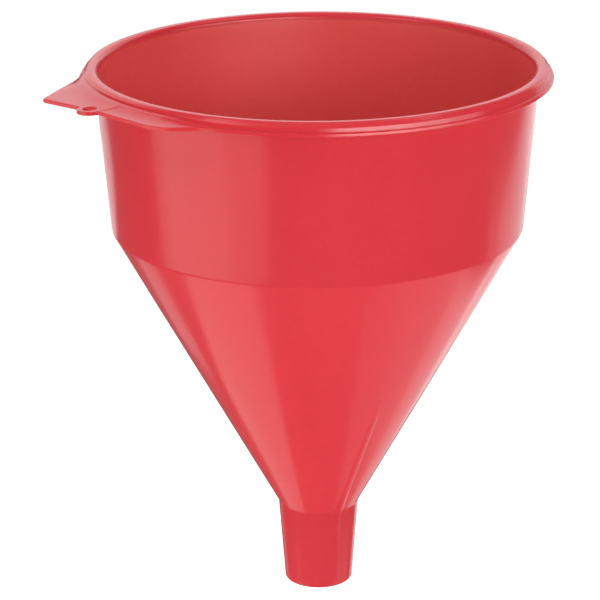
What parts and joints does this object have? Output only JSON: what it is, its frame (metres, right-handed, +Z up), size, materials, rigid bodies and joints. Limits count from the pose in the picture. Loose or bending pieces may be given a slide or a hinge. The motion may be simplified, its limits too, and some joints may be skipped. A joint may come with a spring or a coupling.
{
  "type": "filling funnel",
  "caption": "Large round funnel with a rolled lip, hang tab, steep cone and short tapered spout, with a lift-out gauze strainer inside the cone.",
  "frame": {"origin": "on the funnel's axis, at the plane where the cone turns into the spout and where the funnel rests on a filler neck", "axes": "+Z up along the funnel's axis, out of the open mouth; the hang tab points towards -X and -Y; the front is -Y"},
  "size_m": [0.2627, 0.248, 0.297],
  "materials": {
    "funnel_red": "glossy moulded red polyethylene, slightly translucent",
    "strainer_brass": "pressed brass sheet, lightly tarnished",
    "strainer_gauze": "plain woven brass wire"
  },
  "bodies": {
    "funnel": {"rim_lip": "funnel_red", "bowl_wall": "funnel_red", "cone_wall": "funnel_red", "spout": "funnel_red", "hang_tab": "funnel_red", "vent_rib_front": "funnel_red", "vent_rib_rear": "funnel_red"},
    "strainer": {"strainer_rim": "strainer_brass", "strainer_gauze": "strainer_gauze", "strainer_lift_tab": "strainer_brass"}
  },
  "joints": [
    {"name": "strainer_lift_out", "type": "slide", "parent": "funnel", "child": "strainer", "axis": [0, 0, 1], "range_m": [0, 0.23]}
  ]
}
